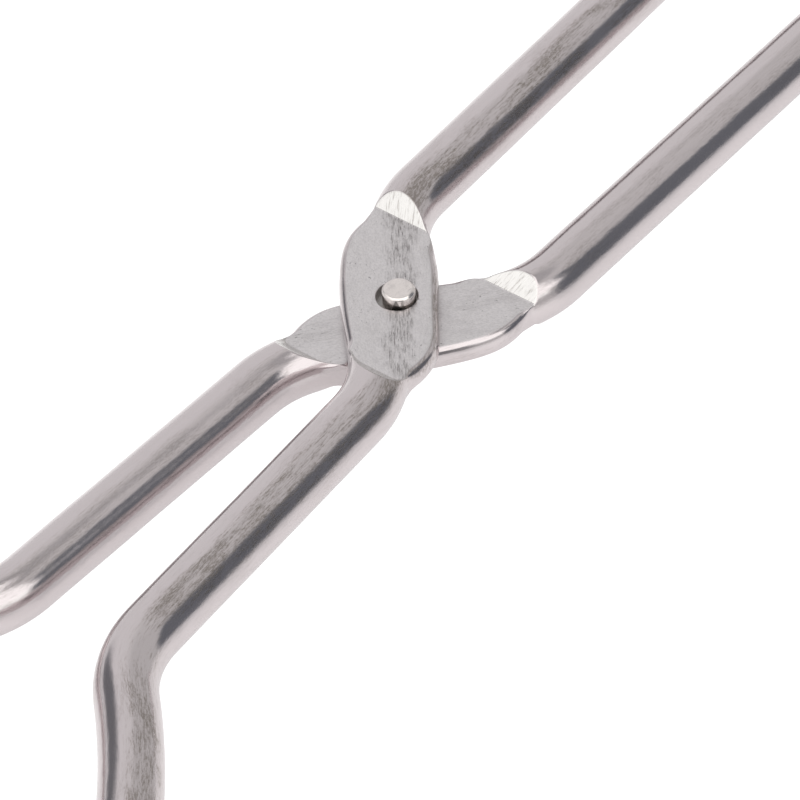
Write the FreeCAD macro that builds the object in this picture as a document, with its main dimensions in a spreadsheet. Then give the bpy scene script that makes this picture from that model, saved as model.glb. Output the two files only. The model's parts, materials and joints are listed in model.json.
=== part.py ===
"""Crucible tongs: two crossed arms of round steel rod turning on one headed rivet.

Frame: +X runs from the finger loops to the jaw tips, +Z is up (the way the bent
tips point) and the origin is the centre of the tongs on the surface they lie on.
All lengths are millimetres and all angles are degrees.
"""

import FreeCAD
import Part
import Sketcher
import math
import os
from FreeCAD import Rotation, Vector

DIMENSIONS = [
    # rod and overall reach, both measured from the pivot axis
    ("rod_d", 5.0),
    ("jaw_reach", 106.0),
    ("handle_reach", 124.0),
    # forged flats that cross at the pivot
    ("flat_t", 2.15),
    ("flat_gap", 0.05),
    ("flat_angle", 31.9),
    ("flat_shift", 0.86),
    ("flat_edge_r", 0.4),
    ("flat_handle_x", 7.15),
    ("flat_jaw_x", 7.6),
    ("forge_slope", 44.0),
    # handle: offset from the centre line at the pivot, spread and finger loop
    ("handle_y", 6.54),
    ("handle_angle", 1.03),
    ("handle_bend_r", 10.0),
    ("loop_r", 13.5),
    ("loop_sweep", 304.0),
    # jaw: offset at the pivot, spread, elbow, bow and the run back to the tips
    ("jaw_y", 4.45),
    ("jaw_angle", 2.6),
    ("jaw_bend_r", 10.0),
    ("elbow_x", 42.3),
    ("elbow_r", 10.0),
    ("bow_angle", 45.3),
    ("bow_slow_r", 67.5),
    ("bow_slow_angle", 12.0),
    ("bow_r", 18.0),
    ("bow_return", 55.0),
    ("tip_set_r", 10.0),
    ("tip_y", 2.9),
    # upturned tips
    ("tip_bend_r", 10.0),
    ("tip_height", 23.0),
    ("tip_end_d", 4.4),
    ("tip_round", 1.2),
    ("grip_y", 1.05),
    ("grip_start_x", 77.0),
    ("tooth_pitch", 1.5),
    ("tooth_depth", 0.3),
    ("tooth_run", 12.0),
    # rivet
    ("shank_d", 2.2),
    ("shank_play", 0.05),
    ("head_d", 2.7),
    ("head_proud", 0.9),
    ("head_chamfer", 0.18),
    ("seat_d", 3.36),
    ("seat_depth", 0.9),
    ("seat_play", 0.03),
    ("seat_shift", 0.2),
    ("tail_d", 4.0),
    ("tail_sink", 0.9),
    ("tail_dome", 0.45),
]

# Plan outline of the forged flat as (along, across) from the pivot axis. The side away from
# the tongs' centre line at the handle end is fuller than the other.
FLAT_OUTER_SIDE = [
    (-10.6, -2.4),
    (-9.0, -3.85),
    (-6.8, -4.95),
    (-3.5, -5.15),
    (1.5, -4.5),
    (7.4, -3.1),
    (9.4, -2.6),
]
FLAT_INNER_SIDE = [
    (9.9, 0.6),
    (8.3, 2.2),
    (5.6, 3.5),
    (1.4, 3.3),
    (-4.9, 2.5),
    (-7.6, 1.6),
    (-9.2, 0.9),
]

doc = FreeCAD.newDocument("crucible_tongs")
sheet = doc.addObject("Spreadsheet::Sheet", "dims")
for row, (alias, value) in enumerate(DIMENSIONS, start=1):
    sheet.set("A%d" % row, alias)
    sheet.set("B%d" % row, str(value))
    sheet.setAlias("B%d" % row, alias)
doc.recompute()


def dim(alias):
    """Read one driving dimension from the sheet."""
    return float(sheet.get(alias))


def bind(thing, prop, formula):
    """Drive a property of an object from the sheet."""
    thing.setExpression(prop, formula)


ROD_R = dim("rod_d") / 2
TIP_BEND_X = dim("jaw_reach") - ROD_R - dim("tip_bend_r")
BESIDE = 30.0  # a cutting profile that has to pass the whole tip runs this far past it
OVERRUN = 1.0  # a cutting profile runs this far past the face it starts from


def origin_plane(body, role):
    """Find one of the body's own origin planes by its role."""
    for feature in body.Origin.OriginFeatures:
        if feature.Role == role:
            return feature
    raise ValueError(role)


def new_sketch(body, name, role, offset=0.0):
    """Start a sketch on an origin plane, moved along that plane's normal."""
    sketch = body.newObject("Sketcher::SketchObject", name)
    sketch.AttachmentSupport = [(origin_plane(body, role), "")]
    sketch.MapMode = "FlatFace"
    sketch.AttachmentOffset = FreeCAD.Placement(Vector(0, 0, offset), Rotation())
    return sketch


def circle_sketch(body, name, role, offset, centre, formula):
    """A circle at a fixed centre with its radius driven from the sheet."""
    sketch = new_sketch(body, name, role, offset)
    radius_guess = 1.0  # replaced by the formula
    ring = sketch.addGeometry(Part.Circle(centre, Vector(0, 0, 1), radius_guess), False)
    sketch.addConstraint(Sketcher.Constraint("DistanceX", -1, 1, ring, 3, centre.x))
    sketch.addConstraint(Sketcher.Constraint("DistanceY", -1, 1, ring, 3, centre.y))
    size = sketch.addConstraint(Sketcher.Constraint("Radius", ring, radius_guess))
    bind(sketch, "Constraints[%d]" % size, formula)
    return sketch


def polygon_sketch(body, name, role, outlines):
    """Closed straight-sided outlines, each a list of (x, y) corners."""
    sketch = new_sketch(body, name, role)
    for corners in outlines:
        for start, end in zip(corners, corners[1:] + corners[:1]):
            sketch.addGeometry(Part.LineSegment(Vector(*start, 0), Vector(*end, 0)), False)
    return sketch


class Course:
    """Walks a rod's centre line in the sketch plane as tangent lines and arcs."""

    def __init__(self, x, y, heading, side):
        self.here = Vector(x, y * side, 0)
        self.heading = math.radians(heading) * side
        self.side = side
        self.pieces = []

    def line(self, length):
        along = Vector(math.cos(self.heading), math.sin(self.heading), 0)
        there = self.here + along * length
        self.pieces.append(Part.LineSegment(self.here, there))
        self.here = there

    def arc(self, radius, turn):
        """Turn by so many degrees, positive to the left on the unmirrored arm."""
        turn = math.radians(turn) * self.side
        sense = 1 if turn > 0 else -1
        normal = Vector(-math.sin(self.heading), math.cos(self.heading), 0) * sense
        centre = self.here + normal * radius
        first = math.atan2(-normal.y, -normal.x)
        last = first + turn
        circle = Part.Circle(centre, Vector(0, 0, 1), radius)
        self.pieces.append(Part.ArcOfCircle(circle, min(first, last), max(first, last)))
        self.here = centre + Vector(math.cos(last), math.sin(last), 0) * radius
        self.heading += turn


def crossing(point_a, angle_a, point_b, angle_b):
    """Where two lines in the plane meet; angles in degrees."""
    ax, ay = point_a
    bx, by = point_b
    slope_a = math.tan(math.radians(angle_a))
    slope_b = math.tan(math.radians(angle_b))
    x = (by - ay + slope_a * ax - slope_b * bx) / (slope_a - slope_b)
    return x, ay + slope_a * (x - ax)


def between(start, end):
    return math.hypot(end[0] - start[0], end[1] - start[1])


def bend_run(radius, turn):
    """Length of line that a bend uses up on each side of its corner."""
    return radius * math.tan(math.radians(abs(turn)) / 2)


def rod_course(side):
    """Centre line of one arm, from the start of the tip's upturn back to the loop's free end."""
    flat_angle = dim("flat_angle")
    handle_angle = dim("handle_angle")
    jaw_angle = dim("jaw_angle")
    tilt = math.radians(flat_angle)
    on_flat = (dim("flat_shift") * math.sin(tilt), -dim("flat_shift") * math.cos(tilt))
    handle_corner = crossing((0, -dim("handle_y")), handle_angle, on_flat, flat_angle)
    jaw_corner = crossing((0, dim("jaw_y")), jaw_angle, on_flat, flat_angle)
    elbow = (dim("elbow_x"), dim("jaw_y") + dim("elbow_x") * math.tan(math.radians(jaw_angle)))

    # the bow, walked outwards once from the elbow to find how much line brings it back
    scout = Course(elbow[0], elbow[1], dim("bow_angle"), 1)
    scout.line(bend_run(dim("elbow_r"), dim("bow_angle") - jaw_angle))
    scout.arc(dim("bow_slow_r"), -dim("bow_slow_angle"))
    bow_turn = dim("bow_angle") - dim("bow_slow_angle") + dim("bow_return")
    scout.arc(dim("bow_r"), -bow_turn)
    back = math.radians(dim("bow_return"))
    set_drop = dim("tip_set_r") * (1 - math.cos(back))
    return_run = (scout.here.y - dim("tip_y") - set_drop) / math.sin(back)
    scout.line(return_run)
    scout.arc(dim("tip_set_r"), dim("bow_return"))
    tip_run = TIP_BEND_X - scout.here.x

    course = Course(TIP_BEND_X, dim("tip_y"), 180, side)
    course.line(tip_run)
    course.arc(dim("tip_set_r"), -dim("bow_return"))
    course.line(return_run)
    course.arc(dim("bow_r"), bow_turn)
    course.arc(dim("bow_slow_r"), dim("bow_slow_angle"))
    course.arc(dim("elbow_r"), jaw_angle - dim("bow_angle"))
    elbow_run = bend_run(dim("elbow_r"), dim("bow_angle") - jaw_angle)
    jaw_run = bend_run(dim("jaw_bend_r"), flat_angle - jaw_angle)
    handle_run = bend_run(dim("handle_bend_r"), flat_angle - handle_angle)
    course.line(between(jaw_corner, elbow) - elbow_run - jaw_run)
    course.arc(dim("jaw_bend_r"), flat_angle - jaw_angle)
    course.line(between(jaw_corner, handle_corner) - jaw_run - handle_run)
    course.arc(dim("handle_bend_r"), handle_angle - flat_angle)
    lean = math.radians(handle_angle)
    loop_centre_x = ROD_R + dim("loop_r") - dim("handle_reach")
    loop_start_x = loop_centre_x - dim("loop_r") * math.sin(lean)
    course.line((course.here.x - loop_start_x) / math.cos(lean))
    course.arc(dim("loop_r"), dim("loop_sweep"))
    return course


def flat_outline(body, name, side):
    """Plan outline of the forged flat: a fuller outer side and a slimmer inner side."""
    turn = Rotation(Vector(0, 0, 1), dim("flat_angle"))

    def place(along, across):
        spot = turn.multVec(Vector(along, across, 0))
        return Vector(spot.x, spot.y * side, 0)

    sketch = new_sketch(body, name, "XY_Plane")
    for edge in (FLAT_OUTER_SIDE, FLAT_INNER_SIDE):
        curve = Part.BSplineCurve()
        curve.interpolate([place(*spot) for spot in edge])
        sketch.addGeometry(curve, False)
    # the two short ends are buried in the rod
    sketch.addGeometry(Part.LineSegment(place(*FLAT_OUTER_SIDE[-1]), place(*FLAT_INNER_SIDE[0])), False)
    sketch.addGeometry(Part.LineSegment(place(*FLAT_INNER_SIDE[-1]), place(*FLAT_OUTER_SIDE[0])), False)
    return sketch


def add_flat(body, name, side):
    """The forged flat, a little wider than the rod, with its rims rounded."""
    pad = body.newObject("PartDesign::Pad", name + "_flat")
    pad.Profile = flat_outline(body, name + "_flat_outline", side)
    pad.Midplane = True
    bind(pad, "Length", "<<dims>>.flat_t")
    doc.recompute()
    rims = []
    for index, edge in enumerate(pad.Shape.Edges, start=1):
        box = edge.BoundBox
        if box.ZLength < dim("flat_edge_r") and box.DiagonalLength > dim("rod_d"):
            rims.append("Edge%d" % index)
    rounding = body.newObject("PartDesign::Fillet", name + "_flat_rims")
    rounding.Base = (pad, rims)
    bind(rounding, "Radius", "<<dims>>.flat_edge_r")
    doc.recompute()


def add_rod(body, name, side):
    """The round rod: jaw, bow, handle and finger loop in one run."""
    course = rod_course(side)
    path = new_sketch(body, name + "_path", "XY_Plane")
    for piece in course.pieces:
        path.addGeometry(piece, False)
    start = Vector(dim("tip_y") * side, 0, 0)
    profile = circle_sketch(body, name + "_rod_section", "YZ_Plane", TIP_BEND_X, start, "<<dims>>.rod_d / 2")
    doc.recompute()
    rod = body.newObject("PartDesign::AdditivePipe", name + "_rod")
    rod.Profile = profile
    rod.Spine = (path, ["Edge%d" % (n + 1) for n in range(len(course.pieces))])
    doc.recompute()


def add_tip(body, name, side, tip_top):
    """The upturned tip: a quarter bend and a tapered finger with a rounded end."""
    bend_path = new_sketch(body, name + "_tip_path", "XZ_Plane", -dim("tip_y") * side)
    centre = Vector(TIP_BEND_X, dim("tip_bend_r"), 0)
    circle = Part.Circle(centre, Vector(0, 0, 1), dim("tip_bend_r"))
    bend_path.addGeometry(Part.ArcOfCircle(circle, -math.pi / 2, 0), False)
    start = Vector(dim("tip_y") * side, 0, 0)
    profile = circle_sketch(body, name + "_tip_section", "YZ_Plane", TIP_BEND_X, start, "<<dims>>.rod_d / 2")
    doc.recompute()
    bend = body.newObject("PartDesign::AdditivePipe", name + "_tip_bend")
    bend.Profile = profile
    bend.Spine = (bend_path, ["Edge1"])
    doc.recompute()

    foot = Vector(TIP_BEND_X + dim("tip_bend_r"), dim("tip_y") * side, 0)
    low = circle_sketch(body, name + "_finger_low", "XY_Plane", dim("tip_bend_r"), foot, "<<dims>>.rod_d / 2")
    high = circle_sketch(body, name + "_finger_high", "XY_Plane", tip_top, foot, "<<dims>>.tip_end_d / 2")
    doc.recompute()
    finger = body.newObject("PartDesign::AdditiveLoft", name + "_finger")
    finger.Profile = low
    finger.Sections = [high]
    doc.recompute()
    end_rims = []
    for index, edge in enumerate(finger.Shape.Edges, start=1):
        box = edge.BoundBox
        if abs(box.ZMin - tip_top) < 0.01 and abs(box.ZMax - tip_top) < 0.01:
            end_rims.append("Edge%d" % index)
    rounding = body.newObject("PartDesign::Fillet", name + "_tip_end")
    rounding.Base = (finger, end_rims)
    bind(rounding, "Radius", "<<dims>>.tip_round")
    doc.recompute()


def cut_through(body, name, sketch):
    """Cut a profile away through the whole body, both ways from its plane."""
    before = body.Shape.Volume
    pocket = body.newObject("PartDesign::Pocket", name)
    pocket.Profile = sketch
    pocket.Type = "ThroughAll"
    pocket.Midplane = True
    doc.recompute()
    if not body.Shape.Volume < before:
        raise RuntimeError(name + " removed nothing")


def forge_flats(body, name):
    """Bring the rod down to the flat's thickness between the die edges, with sloped shoulders."""
    half = dim("flat_t") / 2
    rise = ROD_R + OVERRUN - half
    run = rise / math.tan(math.radians(dim("forge_slope")))
    outlines = []
    for up in (1, -1):
        low = half * up
        high = (half + rise) * up
        outlines.append([
            (-dim("flat_handle_x"), low),
            (dim("flat_jaw_x"), low),
            (dim("flat_jaw_x") + run, high),
            (-dim("flat_handle_x") - run, high),
        ])
    sketch = polygon_sketch(body, name + "_die", "XZ_Plane", outlines)
    cut_through(body, name + "_forged", sketch)


def cut_grip(body, name, side, tip_top):
    """Flatten the inner side of the tip and cut cross teeth into its upright part."""
    grip = dim("grip_y")
    near = dim("grip_start_x")
    far = dim("jaw_reach") + OVERRUN
    waste = [
        (near, -BESIDE * side),
        (far, -BESIDE * side),
        (far, grip * side),
        (near, grip * side),
    ]
    sketch = polygon_sketch(body, name + "_grip_outline", "XY_Plane", [waste])
    cut_through(body, name + "_grip_face", sketch)

    pitch = dim("tooth_pitch")
    depth = dim("tooth_depth")
    outlines = []
    for count in range(int(dim("tooth_run") / pitch)):
        middle = tip_top - dim("tip_round") - pitch * (count + 0.5)
        # a right-angled notch whose open side lies one tooth depth clear of the face
        outlines.append([
            ((grip - depth) * side, middle - 2 * depth),
            ((grip - depth) * side, middle + 2 * depth),
            ((grip + depth) * side, middle),
        ])
    sketch = polygon_sketch(body, name + "_teeth_outline", "YZ_Plane", outlines)
    cut_through(body, name + "_teeth", sketch)


def bore_pivot(body, name, upper):
    """Bore for the rivet's shank: it runs free in the upper arm and is held in the lower arm."""
    radius = "<<dims>>.shank_d / 2"
    if upper:
        radius += " + <<dims>>.shank_play"
    bore = circle_sketch(body, name + "_bore_circle", "XY_Plane", 0, Vector(0, 0, 0), radius)
    cut_through(body, name + "_bore", bore)


def sink_head_seat(body, name):
    """Flat-bottomed seat round the rivet's head, cut slightly off the pivot axis."""
    centre = Vector(0, -dim("seat_shift"), 0)
    top = dim("flat_t") / 2
    sketch = circle_sketch(body, name + "_seat_circle", "XY_Plane", top, centre, "<<dims>>.seat_d / 2")
    before = body.Shape.Volume
    pocket = body.newObject("PartDesign::Pocket", name + "_seat")
    pocket.Profile = sketch
    bind(pocket, "Length", "<<dims>>.seat_depth")
    doc.recompute()
    if not body.Shape.Volume < before:
        raise RuntimeError(name + " seat removed nothing")


def sink_tail(body, name):
    """Countersink in the underside that the rivet's tail is spread into."""
    half = dim("flat_t") / 2
    tail_r = dim("tail_d") / 2
    top = dim("tail_sink") - half
    corners = [
        (0, -half - OVERRUN),
        (tail_r, -half - OVERRUN),
        (tail_r, -half),
        (dim("shank_d") / 2, top),
        (0, top),
    ]
    sketch = polygon_sketch(body, name + "_tail_profile", "XZ_Plane", [corners])
    before = body.Shape.Volume
    groove = body.newObject("PartDesign::Groove", name + "_tail_sink")
    groove.Profile = sketch
    groove.ReferenceAxis = (sketch, ["V_Axis"])
    groove.Angle = 360
    doc.recompute()
    if not body.Shape.Volume < before:
        raise RuntimeError(name + " countersink removed nothing")


def make_arm(name, side, upper):
    """One arm, drawn about the pivot with its rod's centre line in the plane z = 0."""
    body = doc.addObject("PartDesign::Body", name)
    body.Label = name
    tip_top = dim("tip_height")
    if not upper:
        tip_top += dim("flat_t") + dim("flat_gap")
    add_flat(body, name, side)
    add_rod(body, name, side)
    forge_flats(body, name)
    add_tip(body, name, side, tip_top)
    cut_grip(body, name, side, tip_top)
    bore_pivot(body, name, upper)
    if upper:
        sink_head_seat(body, name)
    else:
        sink_tail(body, name)
    bind(body, "Placement.Base.x", "(<<dims>>.handle_reach - <<dims>>.jaw_reach) / 2")
    level = "<<dims>>.rod_d / 2"
    if upper:
        level += " + <<dims>>.flat_t + <<dims>>.flat_gap"
    bind(body, "Placement.Base.z", level)
    return body


def make_rivet(name):
    """The pivot rivet, drawn about its axis with the plane between the flats at z = 0."""
    body = doc.addObject("PartDesign::Body", name)
    body.Label = name
    outer = dim("flat_t") + dim("flat_gap") / 2
    head_r = dim("head_d") / 2
    shank_r = dim("shank_d") / 2
    chamfer = dim("head_chamfer")
    head_low = outer - dim("seat_depth") + dim("seat_play")
    head_top = outer + dim("head_proud")
    tail_low = -outer - dim("tail_dome")
    corners = [
        (0, head_top),
        (head_r - chamfer, head_top),
        (head_r, head_top - chamfer),
        (head_r, head_low),
        (shank_r, head_low),
        (shank_r, dim("tail_sink") - outer),
        (dim("tail_d") / 2, -outer),
    ]
    profile = new_sketch(body, name + "_profile", "XZ_Plane")
    for start, end in zip(corners, corners[1:]):
        profile.addGeometry(Part.LineSegment(Vector(*start, 0), Vector(*end, 0)), False)
    # the spread tail bulges as a shallow ball cap centred on the axis
    tail_r = dim("tail_d") / 2
    ball_r = (tail_r ** 2 + dim("tail_dome") ** 2) / (2 * dim("tail_dome"))
    ball_centre = Vector(0, tail_low + ball_r, 0)
    ball = Part.Circle(ball_centre, Vector(0, 0, 1), ball_r)
    rim_angle = math.atan2(-outer - ball_centre.y, tail_r)
    profile.addGeometry(Part.ArcOfCircle(ball, -math.pi / 2, rim_angle), False)
    profile.addGeometry(Part.LineSegment(Vector(0, tail_low, 0), Vector(*corners[0], 0)), False)
    turned = body.newObject("PartDesign::Revolution", name + "_turned")
    turned.Profile = profile
    turned.ReferenceAxis = (profile, ["V_Axis"])
    turned.Angle = 360
    bind(body, "Placement.Base.x", "(<<dims>>.handle_reach - <<dims>>.jaw_reach) / 2")
    bind(body, "Placement.Base.z", "(<<dims>>.rod_d + <<dims>>.flat_t + <<dims>>.flat_gap) / 2")
    doc.recompute()
    return body


pieces = [
    make_arm("upper_arm", 1, True),
    make_arm("lower_arm", -1, False),
    make_rivet("pivot_rivet"),
]
doc.recompute()

for thing in doc.Objects:
    if "Invalid" in thing.State or "Error" in thing.State:
        raise RuntimeError(thing.Name + " did not build")
os.makedirs("parts", exist_ok=True)
for piece in pieces:
    shape = piece.Shape
    if shape.isNull() or not shape.isValid() or len(shape.Solids) != 1:
        raise RuntimeError(piece.Label + " is not one valid solid")
    shape.exportStep(os.path.join("parts", piece.Label + ".step"))
    box = shape.BoundBox
    print(
        "%-12s volume %8.1f  x %.2f..%.2f  y %.2f..%.2f  z %.2f..%.2f"
        % (piece.Label, shape.Volume, box.XMin, box.XMax, box.YMin, box.YMax, box.ZMin, box.ZMax)
    )
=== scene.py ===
"""Looks of the crucible tongs: two forged steel arms and their rivet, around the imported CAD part.

The arms are lofted along the same centre line as the CAD arms, fine enough for mirror-like steel:
round rod, forged flats with sloped shoulders, finger loops, bow and toothed tips.
Shapes are worked out in millimetres about the pivot and placed in the row frame in metres.
"""

import json
import math

import bpy
import numpy as np
from mathutils import Matrix, Vector
from mathutils.kdtree import KDTree


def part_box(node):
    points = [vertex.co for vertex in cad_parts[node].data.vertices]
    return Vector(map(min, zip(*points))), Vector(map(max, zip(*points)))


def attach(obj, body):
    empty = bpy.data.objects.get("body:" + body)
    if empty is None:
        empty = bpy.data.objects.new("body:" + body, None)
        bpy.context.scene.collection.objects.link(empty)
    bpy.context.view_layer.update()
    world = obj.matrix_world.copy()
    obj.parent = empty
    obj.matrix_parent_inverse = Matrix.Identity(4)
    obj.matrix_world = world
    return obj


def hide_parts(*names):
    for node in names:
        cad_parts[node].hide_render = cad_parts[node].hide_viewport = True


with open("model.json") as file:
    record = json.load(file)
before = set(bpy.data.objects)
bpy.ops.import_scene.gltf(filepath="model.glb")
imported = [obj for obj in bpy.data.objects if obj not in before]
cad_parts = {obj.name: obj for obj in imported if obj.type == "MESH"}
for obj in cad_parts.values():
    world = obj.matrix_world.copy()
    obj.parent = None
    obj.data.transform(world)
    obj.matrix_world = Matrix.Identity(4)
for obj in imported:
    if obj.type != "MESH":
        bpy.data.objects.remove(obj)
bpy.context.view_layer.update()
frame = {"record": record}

MM = 0.001

# ---- the part's own sizes, in millimetres and degrees, about the pivot axis ----
ROD_R = 2.5
# the forged flat: its slab, the dies' edges along X, and its plan in its own axes
FLAT_T = 2.15
HALF_T = FLAT_T / 2
FLAT_ANGLE = 31.9
FLAT_SHIFT = 0.86
FLAT_HANDLE_X = 7.15
FLAT_JAW_X = 7.6
FORGE_SLOPE = 44.0
DIE_CORNER_R = 1.3
FLAT_OUTER_SIDE = [
    (-10.6, -2.4), (-9.0, -3.85), (-6.8, -4.95), (-3.5, -5.15), (1.5, -4.5), (7.4, -3.1), (9.4, -2.6),
]
FLAT_INNER_SIDE = [
    (9.9, 0.6), (8.3, 2.2), (5.6, 3.5), (1.4, 3.3), (-4.9, 2.5), (-7.6, 1.6), (-9.2, 0.9),
]
# how softly its faces meet: worn rims that fade over RIM_RUN towards the ends, and tighter creases
RIM_SOFT = 0.78
RIM_RUN = 1.8
RIM_LEAST = 0.03
PLATE_EDGE = 0.15
CREASE_SOFT = 0.11
JOIN_SOFT = 0.25
# handle and finger loop
FLAT_BEND_R = 10.0
HANDLE_Y = 6.54
HANDLE_ANGLE = 1.03
LOOP_R = 13.5
LOOP_SWEEP = 304.0
LOOP_END_ROUND = 0.35
# jaw: elbow, bow and the run back to the middle
JAW_Y = 4.45
JAW_ANGLE = 2.6
ELBOW_X = 42.3
ELBOW_R = 10.0
BOW_ANGLE = 45.3
BOW_SLOW_R = 67.5
BOW_SLOW_ANGLE = 12.0
BOW_R = 18.0
BOW_RETURN = 55.0
# upturned tip with its ground face and teeth
TIP_SET_R = 10.0
TIP_Y = 2.9
TIP_BEND_R = 10.0
TIP_END_R = 2.2
TIP_ROUND = 1.2
GRIP_Y = 1.05
GRIP_START_X = 77.0
GRIP_SOFT = 0.04
TOOTH_PITCH = 1.5
TOOTH_DEPTH = 0.3
TEETH = 8
# rivet, its bores and the recess round its head
SHANK_R = 1.1
SHANK_PLAY = 0.05
HEAD_R = 1.35
HEAD_CHAMFER = 0.18
SEAT_R = 1.68
SEAT_DEPTH = 0.9
SEAT_PLAY = 0.03
SEAT_SHIFT = 0.2
SEAT_BEVEL = 0.06
SEAT_LIP = 0.003
TAIL_R = 2.0
TAIL_SINK = 0.9
SHANK_INSET = 0.01
TAIL_INSET = 0.015

# ---- how finely the skin is divided, in millimetres ----
AROUND = 144            # points round each ring
LINE_STEP = 2.2         # between rings on straight runs
BEND_STEPS = {LOOP_R: 0.6, ELBOW_R: 0.35}
BOW_STEP = 0.5          # on the bends of other radii
PIVOT_ZONE = 13.0       # rings stand square to X within this distance of the pivot
ZONE_HALF_WIDTH = 9.5   # and of the X axis
SKIN_FAR = 9.0          # the skin there is nearer than this
SQUASH_LEAST, SQUASH_FROM, SQUASH_RUN = 0.3, 6.6, 3.2
TIP_RINGS = 45
CREASE_MARKS = (0.02, 0.06, 0.12, 0.2)
SLOPE_STEP, ROD_STEP, FLAT_STEP = 0.055, 0.15, 0.12
ZONE_END_MARKS = (-12.4, -11.8, -11.2, 11.6, 12.1, 12.6)
TOOTH_MARKS = (-0.34, -0.3, -0.27, -0.15, -0.02, 0.02, 0.15, 0.27, 0.3, 0.34, 0.75)
CAP_SHARES = (0.93, 0.7, 0.35)
BORE_SIDES, SEAT_SIDES, RIVET_SIDES = 96, 128, 144
CUT_PAST = 1.0          # cutters run on this far past the flats' faces
SHARP_ARM, SHARP_RIVET = 60, 24     # degrees between faces that stay crisp
FAR = 1e9
UP, ACROSS = np.array([0, 0, 1.0]), np.array([0, 1.0, 0])

# ---- unevenness of the skin: (wavelength, number of waves, greatest depth) in millimetres ----
SKIN_WAVES = ((7.0, 9, 0.022), (2.6, 12, 0.006))
CALM_R, CALM_FADE = 3.0, 1.5        # none round the rivet
UPPER_SEED, LOWER_SEED, RIVET_SEED = 11, 23, 5

# ---- masks for the materials, in millimetres ----
MASK_GAP, MASK_FADE = 0.015, 0.05   # how near to a die's face the skin counts as forged
MASK_REACH_X = 12.0
RECESS_MARGIN, RECESS_DEPTH = 0.02, 0.03
CUT_REACH = 4.5                     # from the pivot, for places worked out again after cutting

# ---- places that the frame gives ----
joint = next(j for j in frame["record"]["behaviour"]["joints"] if j["name"] == "pivot")
PIVOT = Vector(joint["pos_m"])
upper_low, upper_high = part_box("upper_arm")
lower_low, lower_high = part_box("lower_arm")
rivet_low, rivet_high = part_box("pivot_rivet")
JAW_REACH = (upper_high.x - PIVOT.x) / MM
HANDLE_REACH = (PIVOT.x - upper_low.x) / MM
TIP_BEND_X = JAW_REACH - ROD_R - TIP_BEND_R
UPPER_Z = upper_low.z + ROD_R * MM
LOWER_Z = lower_low.z + ROD_R * MM


def crossing(point_a, angle_a, point_b, angle_b):
    """Where two lines in the plane meet; angles in degrees."""
    slope_a, slope_b = math.tan(math.radians(angle_a)), math.tan(math.radians(angle_b))
    x = (point_b[1] - point_a[1] + slope_a * point_a[0] - slope_b * point_b[0]) / (slope_a - slope_b)
    return x, point_a[1] + slope_a * (x - point_a[0])


def bend_run(radius, turn):
    """Length of line that a bend uses up on each side of its corner."""
    return radius * math.tan(math.radians(abs(turn)) / 2)


class Course:
    """A rod's centre line in the plane, as straight runs and arcs."""

    def __init__(self, x, y, heading):
        self.x, self.y, self.heading = x, y, math.radians(heading)
        self.length = 0.0
        self.runs = []

    def add(self, length, bend):
        """bend is the turn per millimetre, positive to the left."""
        self.runs.append((self.length, length, self.x, self.y, self.heading, bend))
        self.length += length
        self.x, self.y, self.heading = (float(v[0]) for v in self.at(np.array([self.length])))

    def line(self, length):
        self.add(length, 0.0)

    def arc(self, radius, turn):
        turn = math.radians(turn)
        self.add(radius * abs(turn), math.copysign(1 / radius, turn))

    def at(self, s):
        """x, y and heading at the distances s along the line."""
        x, y, heading = np.zeros_like(s), np.zeros_like(s), np.zeros_like(s)
        for start, length, x0, y0, h0, bend in self.runs:
            on = s >= start - 1e-9
            u = s[on] - start
            h = h0 + bend * u
            heading[on] = h
            if bend:
                x[on] = x0 + (np.sin(h) - math.sin(h0)) / bend
                y[on] = y0 - (np.cos(h) - math.cos(h0)) / bend
            else:
                x[on] = x0 + u * math.cos(h0)
                y[on] = y0 + u * math.sin(h0)
        return x, y, heading


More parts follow.
